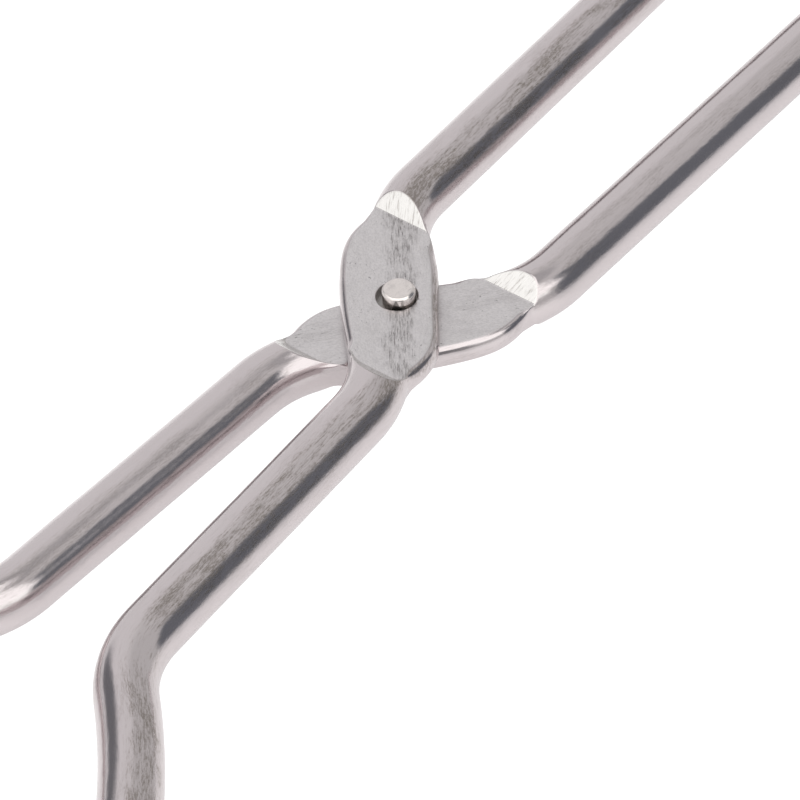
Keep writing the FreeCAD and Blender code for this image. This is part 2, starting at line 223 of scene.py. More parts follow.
def rod_course():
    """Centre line of the upper arm from the foot of its tip's upturn back to the loop's free end."""
    tilt = math.radians(FLAT_ANGLE)
    on_flat = (FLAT_SHIFT * math.sin(tilt), -FLAT_SHIFT * math.cos(tilt))
    handle_corner = crossing((0, -HANDLE_Y), HANDLE_ANGLE, on_flat, FLAT_ANGLE)
    jaw_corner = crossing((0, JAW_Y), JAW_ANGLE, on_flat, FLAT_ANGLE)
    elbow = (ELBOW_X, JAW_Y + ELBOW_X * math.tan(math.radians(JAW_ANGLE)))
    elbow_run = bend_run(ELBOW_R, BOW_ANGLE - JAW_ANGLE)
    bow_turn = BOW_ANGLE - BOW_SLOW_ANGLE + BOW_RETURN

    # the bow, walked outwards once from the elbow to find how much line brings it back
    scout = Course(*elbow, BOW_ANGLE)
    scout.line(elbow_run)
    scout.arc(BOW_SLOW_R, -BOW_SLOW_ANGLE)
    scout.arc(BOW_R, -bow_turn)
    back = math.radians(BOW_RETURN)
    return_run = (scout.y - TIP_Y - TIP_SET_R * (1 - math.cos(back))) / math.sin(back)
    scout.line(return_run)
    scout.arc(TIP_SET_R, BOW_RETURN)

    course = Course(TIP_BEND_X, TIP_Y, 180)
    course.line(TIP_BEND_X - scout.x)
    course.arc(TIP_SET_R, -BOW_RETURN)
    course.line(return_run)
    course.arc(BOW_R, bow_turn)
    course.arc(BOW_SLOW_R, BOW_SLOW_ANGLE)
    course.arc(ELBOW_R, JAW_ANGLE - BOW_ANGLE)
    jaw_run = bend_run(FLAT_BEND_R, FLAT_ANGLE - JAW_ANGLE)
    handle_run = bend_run(FLAT_BEND_R, FLAT_ANGLE - HANDLE_ANGLE)
    course.line(math.dist(jaw_corner, elbow) - elbow_run - jaw_run)
    course.arc(FLAT_BEND_R, FLAT_ANGLE - JAW_ANGLE)
    course.line(math.dist(jaw_corner, handle_corner) - jaw_run - handle_run)
    course.arc(FLAT_BEND_R, HANDLE_ANGLE - FLAT_ANGLE)
    lean = math.radians(HANDLE_ANGLE)
    loop_start_x = ROD_R + LOOP_R - HANDLE_REACH - LOOP_R * math.sin(lean)
    course.line((course.x - loop_start_x) / math.cos(lean))
    course.arc(LOOP_R, LOOP_SWEEP)
    return course


COURSE = rod_course()


def smooth_through(points, per_span=10):
    """A natural cubic curve through points, as many short segments."""
    points = np.array(points)
    gaps = np.hypot(*np.diff(points, axis=0).T)
    knots = np.concatenate([[0], np.cumsum(gaps)])
    n = len(points)
    rows, right = np.eye(n), np.zeros((n, 2))
    for i in range(1, n - 1):
        rows[i, i - 1:i + 2] = gaps[i - 1], 2 * (gaps[i - 1] + gaps[i]), gaps[i]
        rise = np.diff(points[i - 1:i + 2], axis=0) / gaps[i - 1:i + 1, None]
        right[i] = 6 * (rise[1] - rise[0])
    second = np.linalg.solve(rows, right)
    out = []
    for i in range(n - 1):
        u = np.linspace(0, gaps[i], per_span, endpoint=False)[:, None]
        v = gaps[i] - u
        out.append(
            (second[i] * v ** 3 + second[i + 1] * u ** 3) / (6 * gaps[i])
            + (points[i] / gaps[i] - second[i] * gaps[i] / 6) * v
            + (points[i + 1] / gaps[i] - second[i + 1] * gaps[i] / 6) * u
        )
    return np.concatenate(out + [points[-1:]])


def flat_outline():
    """Plan outline of the forged flat, closed, in the pivot's X and Y."""
    outline = np.concatenate([smooth_through(FLAT_OUTER_SIDE), smooth_through(FLAT_INNER_SIDE)])
    tilt = math.radians(FLAT_ANGLE)
    turn = np.array([[math.cos(tilt), math.sin(tilt)], [-math.sin(tilt), math.cos(tilt)]])
    return outline @ turn


OUTLINE = flat_outline()


def outline_distance(x, y):
    """Signed distance in plan to the flat's outline, negative inside."""
    nearest = np.full(x.shape, FAR)
    inside = np.zeros(x.shape, bool)
    for (x0, y0), (x1, y1) in zip(OUTLINE, np.roll(OUTLINE, -1, axis=0)):
        dx, dy = x1 - x0, y1 - y0
        along = np.clip(((x - x0) * dx + (y - y0) * dy) / (dx * dx + dy * dy + 1e-12), 0, 1)
        nearest = np.minimum(nearest, (x - x0 - along * dx) ** 2 + (y - y0 - along * dy) ** 2)
        if dy:
            inside ^= ((y0 > y) != (y1 > y)) & (x < (y - y0) * dx / dy + x0)
    return np.where(inside, -1, 1) * np.sqrt(nearest)


def course_distance(x, y):
    """Distance in plan from the centre line of the runs round the pivot."""
    nearest = np.full(x.shape, FAR)
    for _, length, x0, y0, h0, bend in COURSE.runs[6:11]:
        if bend:
            cx, cy = x0 - math.sin(h0) / bend, y0 + math.cos(h0) / bend
            sense = math.copysign(1, bend)
            angle = np.arctan2((y - cy) * sense, (x - cx) * sense) - (h0 - math.pi / 2)
            angle = (angle + math.pi) % (2 * math.pi) - math.pi
            on = (angle * sense >= -1e-6) & (angle * sense <= length * abs(bend) + 1e-6)
            gap = np.where(on, np.abs(np.hypot(x - cx, y - cy) - 1 / abs(bend)), FAR)
        else:
            u = (x - x0) * math.cos(h0) + (y - y0) * math.sin(h0)
            u = np.clip(u, 0, length)
            gap = np.hypot(x - x0 - u * math.cos(h0), y - y0 - u * math.sin(h0))
        nearest = np.minimum(nearest, gap)
    return nearest


def soft_min(a, b, k):
    """The smaller of a and b, blended where they are within k."""
    h = np.clip(0.5 + 0.5 * (b - a) / k, 0, 1)
    return b + (a - b) * h - k * h * (1 - h)


def soft_max(a, b, k):
    return -soft_min(-a, -b, k)


def die_height(x, edge):
    """How far above the rod's centre plane the forging dies leave metal.

    edge is the signed distance in plan to the arm's outline, where the jaw die's corners are rounded.
    """
    over_x = np.maximum(x - FLAT_JAW_X + DIE_CORNER_R, 0)
    over_edge = np.maximum(edge + DIE_CORNER_R, 0)
    past_jaw = np.hypot(over_x, over_edge) - DIE_CORNER_R
    past_jaw = np.where(x > FLAT_JAW_X - DIE_CORNER_R, past_jaw, 0)
    past = np.maximum(np.maximum(np.maximum(past_jaw, x - FLAT_JAW_X), -FLAT_HANDLE_X - x), 0)
    return HALF_T + past * math.tan(math.radians(FORGE_SLOPE))


def arm_field(x, y, z):
    """Roughly the distance to the arm's skin near the pivot, negative inside the metal."""
    from_course = course_distance(x, y)
    from_outline = outline_distance(x, y)
    rod = np.hypot(from_course, z) - ROD_R
    # rims of the flat are rounded more than the creases, and run out towards the flat's ends
    from_end = np.clip(np.minimum(FLAT_JAW_X - x, x + FLAT_HANDLE_X) / RIM_RUN, 0, 1)
    rim = RIM_SOFT * from_end * from_end * (3 - 2 * from_end)
    wall = soft_max(from_outline, np.abs(z) - HALF_T - rim, PLATE_EDGE)
    metal = soft_min(rod, wall, JOIN_SOFT)
    roof = np.abs(z) - die_height(x, np.minimum(from_course - ROD_R, from_outline))
    roof *= math.cos(math.radians(FORGE_SLOPE))
    plate_share = np.clip(0.5 + 0.5 * (rod - wall) / JOIN_SOFT, 0, 1)
    softness = CREASE_SOFT + (np.maximum(rim, RIM_LEAST) - CREASE_SOFT) * plate_share
    return soft_max(metal, roof, softness)


def uneven(place, rng, size, waves, amplitude):
    """Gentle seeded waves over (along, across, up) places, from 0 to the amplitude."""
    total = np.zeros(len(place))
    for _ in range(waves):
        way = rng.normal(size=3)
        way /= np.linalg.norm(way)
        wavelength = size * rng.uniform(0.6, 1.6)
        total += np.sin(place @ (way * 2 * math.pi / wavelength) + rng.uniform(0, 2 * math.pi))
    return amplitude * (0.5 + 0.5 * total / math.sqrt(waves) / 1.6).clip(0, 1)


def ring_step(bend):
    """Spacing of the rings on a run that turns by bend per millimetre."""
    return BEND_STEPS.get(abs(1 / bend), BOW_STEP) if bend else LINE_STEP


def stations():
    """Distances of the rings from the loop's free end, and a fine table of distance and X at the pivot."""
    total = COURSE.length
    s = []
    for start, length, *_, bend in reversed(COURSE.runs):
        begin, end = total - start - length, total - start
        count = max(2, int(math.ceil(length / ring_step(bend))))
        s.append(np.linspace(begin, end, count, endpoint=False))
    s = np.concatenate(s + [[total]])
    s = s[np.abs(COURSE.at(total - s)[0]) > PIVOT_ZONE - 0.5]

    # rings square to X round the pivot: close at the creases and up the shoulders
    slope_run = (ROD_R - HALF_T) / math.tan(math.radians(FORGE_SLOPE))
    marks = list(ZONE_END_MARKS)
    for crease, sign in ((-FLAT_HANDLE_X, -1), (FLAT_JAW_X, 1)):
        marks += [crease + sign * v for v in CREASE_MARKS]
        marks += [crease - sign * v for v in CREASE_MARKS]
        marks += [crease + sign * v for v in np.arange(0.3, slope_run + 0.25, SLOPE_STEP)]
        marks += [crease + sign * v for v in np.arange(slope_run + 0.3, slope_run + 2.4, ROD_STEP)]
    marks += list(np.arange(-FLAT_HANDLE_X + 0.3, FLAT_JAW_X - 0.25, FLAT_STEP))
    dense = np.linspace(0, total, 60001)
    dense_x = COURSE.at(total - dense)[0]
    near = np.abs(dense_x) < PIVOT_ZONE + 1
    s_marks = np.interp(np.sort(marks), dense_x[near], dense[near])
    return np.sort(np.concatenate([s, s_marks])), dense[near], dense_x[near]


STATIONS, ZONE_S, ZONE_X = stations()
ZONE_Y = COURSE.at(COURSE.length - ZONE_S)[1]


def ring_ways(angles, beside, squash):
    """Directions out of each ring's centre, flattened by squash so that they crowd at a flat's edges."""
    return beside[:, None] * np.cos(angles)[..., None] + UP * (squash[:, None] * np.sin(angles))[..., None]


def skin_reach(centre, way, halvings):
    """How far along each direction the skin lies."""
    low, high = np.zeros(way.shape[:2]), np.full(way.shape[:2], SKIN_FAR)
    for _ in range(halvings):
        middle = (low + high) / 2
        spot = centre[:, None] + way * middle[..., None]
        out = arm_field(spot[..., 0], spot[..., 1], spot[..., 2]) > 0
        high = np.where(out, middle, high)
        low = np.where(out, low, middle)
    return (low + high) / 2


def crowded_angles(centre, beside, squash):
    """Ring angles spaced half by length and half by how much the section turns, quarter by quarter."""
    fine = 3 * AROUND // 4
    dense = np.linspace(0, 2 * math.pi, 4 * fine + 1)
    reach = skin_reach(centre, ring_ways(np.tile(dense, (len(centre), 1)), beside, squash), 18)
    u, w = reach * np.cos(dense), reach * squash[:, None] * np.sin(dense)
    du, dw = np.diff(u, axis=1), np.diff(w, axis=1)
    turn = np.abs(np.gradient(np.unwrap(np.arctan2(dw, du), axis=1), axis=1))
    length = np.hypot(du, dw)
    share = AROUND // 4
    wanted = np.arange(share) / share
    quarters = []
    for quarter in range(4):
        part = slice(quarter * fine, (quarter + 1) * fine)
        weight = length[:, part] / length[:, part].sum(1, keepdims=True)
        weight = weight + turn[:, part] / turn[:, part].sum(1, keepdims=True)
        total = np.concatenate([np.zeros((len(centre), 1)), np.cumsum(weight, axis=1) / 2], 1)
        stops = dense[quarter * fine:(quarter + 1) * fine + 1]
        quarters.append(np.array([np.interp(wanted, row, stops) for row in total]))
    angles = np.concatenate(quarters, 1)
    angles[1:-1] = (angles[:-2] + 2 * angles[1:-1] + angles[2:]) / 4
    return angles


def course_rings():
    """Rings along the course from the loop to the foot of the upturn, with their places along the rod."""
    x, y, heading = COURSE.at(COURSE.length - STATIONS)
    heading = heading + math.pi
    centre = np.stack([x, y, np.zeros_like(x)], 1)
    beside = np.stack([-np.sin(heading), np.cos(heading), np.zeros_like(x)], 1)
    squareness = np.clip((PIVOT_ZONE + 1.5 - np.abs(x)) / 2.0, 0, 1)[:, None]
    squareness = np.where(np.abs(y)[:, None] < ZONE_HALF_WIDTH, squareness, 0)
    beside = beside * (1 - squareness) + ACROSS * squareness
    beside /= np.linalg.norm(beside, axis=1)[:, None]

    # round the pivot the skin is searched for outwards from the centre line
    zone = squareness[:, 0] > 0
    ease = np.clip((np.abs(x) - SQUASH_FROM) / SQUASH_RUN, 0, 1)
    squash = np.where(zone, SQUASH_LEAST + (1 - SQUASH_LEAST) * ease * ease * (3 - 2 * ease), 1.0)
    angles = np.tile(np.linspace(0, 2 * math.pi, AROUND, endpoint=False), (len(x), 1))
    angles[zone] = crowded_angles(centre[zone], beside[zone], squash[zone])
    way = ring_ways(angles, beside, squash)
    reach = np.full((len(x), AROUND), ROD_R)
    reach[zone] = skin_reach(centre[zone], way[zone], 20)
    offset = way * reach[..., None]
    along = np.repeat(STATIONS[:, None], AROUND, 1)
    place = np.stack([along, (offset * beside[:, None]).sum(2), offset[..., 2]], 2)
    return centre[:, None] + offset, place, beside[0], heading[0]


COURSE_RINGS = course_rings()


def arm_rings(tip_top):
    """Ring points (rings, around, 3) of the unmirrored arm and their places along the rod."""
    phi = np.linspace(0, 2 * math.pi, AROUND, endpoint=False)
    cos, sin = np.cos(phi), np.sin(phi)
    total = COURSE.length
    rings, place, first_beside, first_heading = COURSE_RINGS
    first = rings[0].mean(0)

    # the loop's free end: a rounded edge closing to a flat face
    theta = np.linspace(90, 0, 6)[:-1]
    back = -np.array([math.cos(first_heading), math.sin(first_heading), 0])
    start = []
    for t in theta:
        lean = math.radians(t)
        r = ROD_R - LOOP_END_ROUND * (1 - math.cos(lean))
        spot = first - back * LOOP_END_ROUND * (1 - math.sin(lean))
        start.append(spot + r * (first_beside * cos[:, None] + UP * sin[:, None]))
    start = np.array(start)
    start_place = np.stack([np.zeros((len(theta), AROUND)),
                            ((start - first) * first_beside).sum(2), start[..., 2]], 2)
    keep = STATIONS > LOOP_END_ROUND
    rings = np.concatenate([start, rings[keep]])
    place = np.concatenate([start_place, place[keep]])

    # the upturn and the finger
    centres, ups, radii, s = [], [], [], []
    for a in np.linspace(0, math.pi / 2, TIP_RINGS)[1:]:
        centres.append((TIP_BEND_X + TIP_BEND_R * math.sin(a), TIP_Y, TIP_BEND_R * (1 - math.cos(a))))
        ups.append((-math.sin(a), 0, math.cos(a)))
        radii.append(ROD_R)
        s.append(total + TIP_BEND_R * a)
    bend_length = TIP_BEND_R * math.pi / 2
    teeth = [tip_top - TIP_ROUND - TOOTH_PITCH * (tooth + 0.5) for tooth in range(TEETH)]
    heights = [middle + v for middle in teeth for v in TOOTH_MARKS]
    heights += list(np.linspace(TIP_BEND_R + 0.02, min(heights) - 0.1, 4))
    heights += [tip_top - TIP_ROUND + TIP_ROUND * math.sin(math.radians(t)) for t in range(0, 91, 9)]
    heights = sorted(h for h in heights if h > TIP_BEND_R)
    foot = TIP_BEND_X + TIP_BEND_R
    for h in heights:
        taper = (h - TIP_BEND_R) / (tip_top - TIP_BEND_R)
        r = ROD_R + (TIP_END_R - ROD_R) * taper
        if h > tip_top - TIP_ROUND:
            lean = math.asin(min(1, (h - tip_top + TIP_ROUND) / TIP_ROUND))
            r -= TIP_ROUND * (1 - math.cos(lean))
        centres.append((foot, TIP_Y, h))
        ups.append((-1, 0, 0))
        radii.append(r)
        s.append(total + bend_length + h - TIP_BEND_R)
    centres, ups, radii = np.array(centres), np.array(ups), np.array(radii)
    around = ACROSS * cos[:, None]
    tip = centres[:, None] + radii[:, None, None] * (around[None] + ups[:, None] * sin[None, :, None])
    tip_place = np.stack([np.repeat(np.array(s)[:, None], AROUND, 1),
                          radii[:, None] * cos, radii[:, None] * sin], 2)
    rings = np.concatenate([rings, tip])
    place = np.concatenate([place, tip_place])

    # the inner side ground flat, with cross teeth in its upright part
    near_tip = rings[..., 0] > GRIP_START_X
    z = rings[..., 2]
    limit = np.full(z.shape, GRIP_Y)
    for middle in teeth:
        limit = np.maximum(limit, GRIP_Y + TOOTH_DEPTH - np.abs(z - middle))
    rings[..., 1] = np.where(near_tip, soft_max(rings[..., 1], limit, GRIP_SOFT), rings[..., 1])
    return rings, place


def new_piece(name, points, faces):
    """A mesh object from points in metres and their faces."""
    mesh = bpy.data.meshes.new(name)
    mesh.from_pydata(points, [], faces)
    piece = bpy.data.objects.new(name, mesh)
    bpy.context.scene.collection.objects.link(piece)
    return piece


def arm_mesh(name, tip_top, side, level, seed):
    """The arm as a mesh in the row frame, with attributes that its material reads."""
    rng = np.random.default_rng(seed)
    rings, place = arm_rings(tip_top)
    points = rings.reshape(-1, 3)
    where = place.reshape(-1, 3)

    # masks: skin that lies on the dies' faces, flat or sloped
    edge = np.minimum(course_distance(points[:, 0], points[:, 1]) - ROD_R,
                      outline_distance(points[:, 0], points[:, 1]))
    height = die_height(points[:, 0], edge)
    skin = np.clip(1 - (height - np.abs(points[:, 2]) - MASK_GAP) / MASK_FADE, 0, 1)
    in_zone = (np.abs(points[:, 0]) < MASK_REACH_X) & (np.abs(points[:, 1]) < ZONE_HALF_WIDTH)
    skin = np.where(in_zone, skin, 0)
    on_flat = height < HALF_T + 0.02
    masks = np.stack([skin * on_flat, skin * ~on_flat], 1)

    # the hand-worked skin isn't dead straight, except at the teeth and round the rivet
    inward = (rings.mean(1, keepdims=True) - rings).reshape(-1, 3)
    inward = inward / np.maximum(np.linalg.norm(inward, axis=1)[:, None], 1e-6)
    depth = sum(uneven(where, rng, *wave) for wave in SKIN_WAVES)
    on_grip = (points[:, 0] > GRIP_START_X) & (points[:, 1] < GRIP_Y + TOOTH_DEPTH + 0.1)
    depth = np.where(on_grip, 0, depth)
    depth = depth * np.clip((np.hypot(points[:, 0], points[:, 1]) - CALM_R) / CALM_FADE, 0, 1)
    points = points + inward * depth[:, None]

    def cap(ring, ring_place):
        """Points and places from an end ring in to its middle."""
        middle = ring.mean(0)
        inner = [middle + (ring - middle) * share for share in CAP_SHARES] + [middle[None]]
        inner_place = [ring_place * [1, share, share] for share in CAP_SHARES] + [ring_place[:1] * [1, 0, 0]]
        return inner, inner_place

    first, first_place = cap(rings[0], place[0])
    last, last_place = cap(rings[-1], place[-1])
    all_points = np.concatenate(first[::-1] + [points] + last)
    all_where = np.concatenate(first_place[::-1] + [where] + last_place)
    spare = np.zeros((len(CAP_SHARES) * AROUND + 1, 2))
    all_masks = np.concatenate([spare, masks, spare])

    levels = len(rings) + 2 * len(CAP_SHARES)
    grid = 1 + np.arange(levels)[:, None] * AROUND + np.arange(AROUND)
    nxt = np.roll(grid, -1, axis=1)
    quads = np.stack([grid[:-1], nxt[:-1], nxt[1:], grid[1:]], 2).reshape(-1, 4)
    end = 1 + levels * AROUND
    fans = [(0, b, a) for a, b in zip(grid[0].tolist(), nxt[0].tolist())]
    fans += [(end, a, b) for a, b in zip(grid[-1].tolist(), nxt[-1].tolist())]
    faces = [tuple(quad) for quad in quads.tolist()] + fans
    if side > 0:
        faces = [f[::-1] for f in faces]
    placed = all_points * [1, side, 1] * MM + np.array([PIVOT.x, PIVOT.y, level])
    return new_piece(name, placed.tolist(), faces), placed / MM, all_where, all_masks


def lathe(name, profile, around, centre, wobble=None):
    """A closed turned solid; its profile is (radius, height) from the axis up and back to the axis."""
    angles = np.linspace(0, 2 * math.pi, around, endpoint=False)
    points, rows = [], []
    for r, z in profile:
        if r == 0:
            rows.append([len(points)] * around)
            points.append((0, 0, z))
        else:
            rows.append(list(range(len(points), len(points) + around)))
            for a in angles:
                dr, dz = wobble(r, z, a) if wobble else (0, 0)
                points.append(((r + dr) * math.cos(a), (r + dr) * math.sin(a), z + dz))
    faces = []
    for low, high in zip(rows, rows[1:]):
        for i in range(around):
            j = (i + 1) % around
            faces.append(tuple(dict.fromkeys((low[i], low[j], high[j], high[i]))))
    return new_piece(name, [(Vector(p) + Vector(centre)) * MM for p in points], faces)


def cut(obj, cutter):
    """Take the cutter out of the object and throw the cutter away."""
    modifier = obj.modifiers.new("cut", "BOOLEAN")
    modifier.operation = "DIFFERENCE"
    modifier.solver = "EXACT"
    modifier.object = cutter
    bpy.context.view_layer.update()
    done = bpy.data.meshes.new_from_object(obj.evaluated_get(bpy.context.evaluated_depsgraph_get()))
    obj.modifiers.clear()
    old = obj.data
    obj.data = done
    done.name = obj.name
    bpy.data.meshes.remove(old)
    bpy.data.objects.remove(cutter)


def finish_arm(obj, side, level, points, where, masks):
    """Places and masks for the material, worked out again where metal was cut."""
    mesh = obj.data
    co = np.zeros(len(mesh.vertices) * 3, np.float32)
    mesh.vertices.foreach_get("co", co)
    base = np.array([PIVOT.x, PIVOT.y, level])
    co = (co.reshape(-1, 3) - base) / MM
    co[:, 1] *= side
    # each point that the cut left alone finds its own place again
    tree = KDTree(len(points))
    for index, point in enumerate(points):
        tree.insert(point, index)
    tree.balance()
    found = [tree.find(point)[1] for point in co * [1, side, 1] + base / MM]
    place = where[found].astype(np.float32)
    near = np.hypot(co[:, 0], co[:, 1]) < CUT_REACH
    place[near, 0] = np.interp(co[near, 0], ZONE_X, ZONE_S)
    place[near, 1] = co[near, 1] - np.interp(co[near, 0], ZONE_X, ZONE_Y)
    place[near, 2] = co[near, 2]
    mesh.attributes.new("rod_place", "FLOAT_VECTOR", "POINT").data.foreach_set("vector", place.ravel())

    forged, shoulder = masks[found].T
    from_axis = np.hypot(co[:, 0], co[:, 1] + (SEAT_SHIFT if side > 0 else 0))
    recess = (from_axis < TAIL_R + RECESS_MARGIN) & (np.abs(co[:, 2]) < HALF_T - RECESS_DEPTH)
    forged = np.where(recess, 0, forged)
    for name, values in (("forged", forged), ("shoulder", shoulder), ("recess", recess)):
        mesh.attributes.new(name, "FLOAT", "POINT").data.foreach_set("value", values.astype(np.float32))
    mesh.shade_smooth()
    mesh.set_sharp_from_angle(angle=math.radians(SHARP_ARM))


upper_tip = (upper_high.z - UPPER_Z) / MM
lower_tip = (lower_high.z - LOWER_Z) / MM
upper, *upper_skin = arm_mesh("upper_arm_steel", upper_tip, 1, UPPER_Z, UPPER_SEED)
lower, *lower_skin = arm_mesh("lower_arm_steel", lower_tip, -1, LOWER_Z, LOWER_SEED)

px, py = PIVOT.x / MM, PIVOT.y / MM
cut_low, cut_high = -HALF_T - CUT_PAST, HALF_T + CUT_PAST
bore_r = SHANK_R + SHANK_PLAY
seat_floor = HALF_T - SEAT_DEPTH
cut(upper, lathe("bore", [(0, cut_low), (bore_r, cut_low), (bore_r, cut_high), (0, cut_high)],
                 BORE_SIDES, (px, py, UPPER_Z / MM)))
cut(upper, lathe("seat", [(0, seat_floor), (SEAT_R, seat_floor), (SEAT_R, HALF_T - SEAT_BEVEL),
                          (SEAT_R + SEAT_BEVEL, HALF_T + SEAT_LIP), (SEAT_R + SEAT_BEVEL, cut_high),
                          (0, cut_high)],
                 SEAT_SIDES, (px, py - SEAT_SHIFT, UPPER_Z / MM)))
cut(lower, lathe("bore", [(0, cut_low), (TAIL_R, cut_low), (TAIL_R, -HALF_T), (SHANK_R, TAIL_SINK - HALF_T),
                          (SHANK_R, cut_high), (0, cut_high)],
                 BORE_SIDES, (px, py, LOWER_Z / MM)))
finish_arm(upper, 1, UPPER_Z, *upper_skin)
finish_arm(lower, -1, LOWER_Z, *lower_skin)


def rivet_piece():
    """The rivet: a flat-topped cylindrical head with a broken edge, and a peened tail."""
    rng = np.random.default_rng(RIVET_SEED)
    middle_z = PIVOT.z / MM
    top = rivet_high.z / MM - middle_z
    bottom = rivet_low.z / MM - middle_z
    outer = FLAT_T + (UPPER_Z / MM - LOWER_Z / MM - FLAT_T) / 2
    head_low = outer - SEAT_DEPTH + SEAT_PLAY
    dome = -outer - bottom
    ball_r = (TAIL_R ** 2 + dome ** 2) / (2 * dome)
    # from the top of the head down its side, in to the shank, and round the tail
    profile = [(0, top)]
    profile += [(r, top) for r in np.linspace(0.1, HEAD_R - HEAD_CHAMFER - 0.04, 12)]
    profile += [(HEAD_R - HEAD_CHAMFER, top - 0.012)]
    profile += [(HEAD_R - 0.03, top - HEAD_CHAMFER + 0.03), (HEAD_R, top - HEAD_CHAMFER - 0.03)]
    profile += [(HEAD_R, z) for z in np.linspace(top - 0.4, head_low, 6)]
    profile += [(SHANK_R - SHANK_INSET, head_low), (SHANK_R - SHANK_INSET, TAIL_SINK - outer - 0.02)]
    profile += [(TAIL_R - TAIL_INSET, -outer)]
    for share in np.linspace(0.04, 1, 16):
        r = (TAIL_R - TAIL_INSET) * (1 - share)
        profile.append((r if share < 1 else 0, -outer - dome + ball_r - math.sqrt(ball_r ** 2 - r ** 2)))
    phases = rng.uniform(0, 2 * math.pi, 6)

    def wobble(r, z, a):
        """Hammer marks: how far a point moves outwards and upwards."""
        if z < -outer + 0.01:
            dent = sum(math.sin((k + 2) * a + phases[k]) for k in range(4)) / 4
            return -0.03 * (1 + dent) * (r / TAIL_R) * 0.5, 0.02 * (1 + dent) * (r < TAIL_R - 0.1)
        if z > top - 0.3:
            dent = sum(math.sin((k + 1) * a + phases[k]) for k in range(5)) / 5
            return -0.006 * (1 + dent), -0.004 * (1 + dent) * (r > 0.3)
        return 0, 0

    obj = lathe("pivot_rivet_steel", profile[::-1], RIVET_SIDES, (px, py, middle_z), wobble)
    mesh = obj.data
    place = [(v.co.x / MM - px, v.co.y / MM - py, v.co.z / MM - rivet_high.z / MM) for v in mesh.vertices]
    mesh.attributes.new("head_place", "FLOAT_VECTOR", "POINT").data.foreach_set("vector", np.ravel(place))
    mesh.shade_smooth()
    mesh.set_sharp_from_angle(angle=math.radians(SHARP_RIVET))
    return obj


rivet = rivet_piece()


# ---- materials ----

class Shade:
    """Short ways to add nodes to one material or world; values are numbers or other nodes' outputs."""

    def __init__(self, tree):
        self.tree = tree

    def add(self, kind, values=None, **settings):
        """A node with inputs by name or number and settings by keyword."""
        node = self.tree.nodes.new("ShaderNode" + kind)
        for key, value in settings.items():
            setattr(node, key, value)
        for socket, value in (values or {}).items():
            self.put(node.inputs[socket], value)
        return node

    def put(self, socket, value):
        if isinstance(value, bpy.types.NodeSocket):
            self.tree.links.new(value, socket)
        else:
            socket.default_value = value

    def math(self, operation, a, b=0.0, c=0.0):
        return self.add("Math", {0: a, 1: b, 2: c}, operation=operation).outputs[0]

    def product(self, first, *others):
        for other in others:
            first = self.math("MULTIPLY", first, other)
        return first

    def weighted(self, first, *others):
        """Sum of values given with their weights."""
        total = self.math("MULTIPLY", *first)
        for value, weight in others:
            total = self.math("MULTIPLY_ADD", value, weight, total)
        return total

    def step(self, value, low, high, out_low=0.0, out_high=1.0):
        """A smooth step from out_low to out_high while the value goes from low to high."""
        node = self.add("MapRange", {"Value": value, "From Min": low, "From Max": high,
                                     "To Min": out_low, "To Max": out_high},
                        interpolation_type="SMOOTHSTEP", clamp=True)
        return node.outputs["Result"]

    def stretch(self, vector, scale, shift=(0, 0, 0)):
        node = self.add("Mapping", {"Vector": vector, "Scale": scale, "Location": shift})
        return node.outputs["Vector"]

    def noise(self, vector, detail, roughness, distortion=0.0, scale=1.0):
        node = self.add("TexNoise", {"Vector": vector, "Scale": scale, "Detail": detail,
                                     "Roughness": roughness, "Distortion": distortion})
        return node.outputs["Fac"]

    def mix(self, share, a, b):
        """Colour a where the share is 0 and colour b where it is 1."""
        return self.add("Mix", {0: share, 6: a, 7: b}, data_type="RGBA", clamp_factor=True).outputs[2]

    def blend(self, share, a, b):
        """Number a where the share is 0 and number b where it is 1."""
        return self.add("Mix", {0: share, 2: a, 3: b}, data_type="FLOAT", clamp_factor=True).outputs[0]

    def split(self, vector):
        return self.add("SeparateXYZ", {"Vector": vector}).outputs[:]

    def attribute(self, name, output="Fac"):
        return self.add("Attribute", attribute_name=name, attribute_type="GEOMETRY").outputs[output]

    def metal(self, colour, rough, height):
        """Finish the material as bare metal with fine relief in millimetres."""
        bump = self.add("Bump", {"Height": height, "Strength": 1.0, "Distance": MM})
        shader = self.add("BsdfPrincipled", {"Base Color": colour, "Metallic": 1.0, "Roughness": rough,
                                             "Normal": bump.outputs["Normal"]})
        self.add("OutputMaterial", {"Surface": shader.outputs["BSDF"]})


def new_material(name):
    material = bpy.data.materials.new(name)
    material.use_nodes = True
    material.node_tree.nodes.clear()
    return material, Shade(material.node_tree)


# colours, as linear red, green, blue and alpha
STEEL = (0.615, 0.563, 0.57, 1)
SMOKE = (0.32, 0.283, 0.266, 1)
FORGED = (0.72, 0.69, 0.695, 1)
FORGED_GREY = (0.57, 0.545, 0.55, 1)
# dark of the flats' stain band, also used for the painted shade along each flat's edge
FLAT_STAIN_AND_SHADE = (0.25, 0.232, 0.232, 1)
PIT = (0.10, 0.095, 0.095, 1)
BRIGHT = (0.69, 0.672, 0.66, 1)
SHOULDER_LINE = (0.40, 0.375, 0.355, 1)
RIVET_STEEL = (0.80, 0.745, 0.72, 1)
RIVET_GREY = (0.50, 0.465, 0.455, 1)
# dull, slightly darker grey for the recess round the rivet
RECESS_GREY = (0.52, 0.50, 0.49, 1)
# painted shade for the dark facets in the rivet head's side
FACET_SHADE = (0.23, 0.215, 0.205, 1)
# where the smoke leans to on the rods (degrees) and where the dark band crosses a flat (millimetres)
SMOKE_LEAN = 32
BAND_SLOPE, BAND_SHIFT, BAND_STRAY = 0.13, 1.15, 4.2
MIDDLE_S = float(np.interp(0.0, ZONE_X, ZONE_S))
# painted shade for dark facets in the rivet head's side: direction, half-width in degrees gained per
# millimetre downwards, strength
SHADED_FACETS = ((29.0, 15.0, 0.95), (50.0, 10.0, 0.60), (128.0, 9.0, 0.70), (-124.0, 13.0, 0.80))


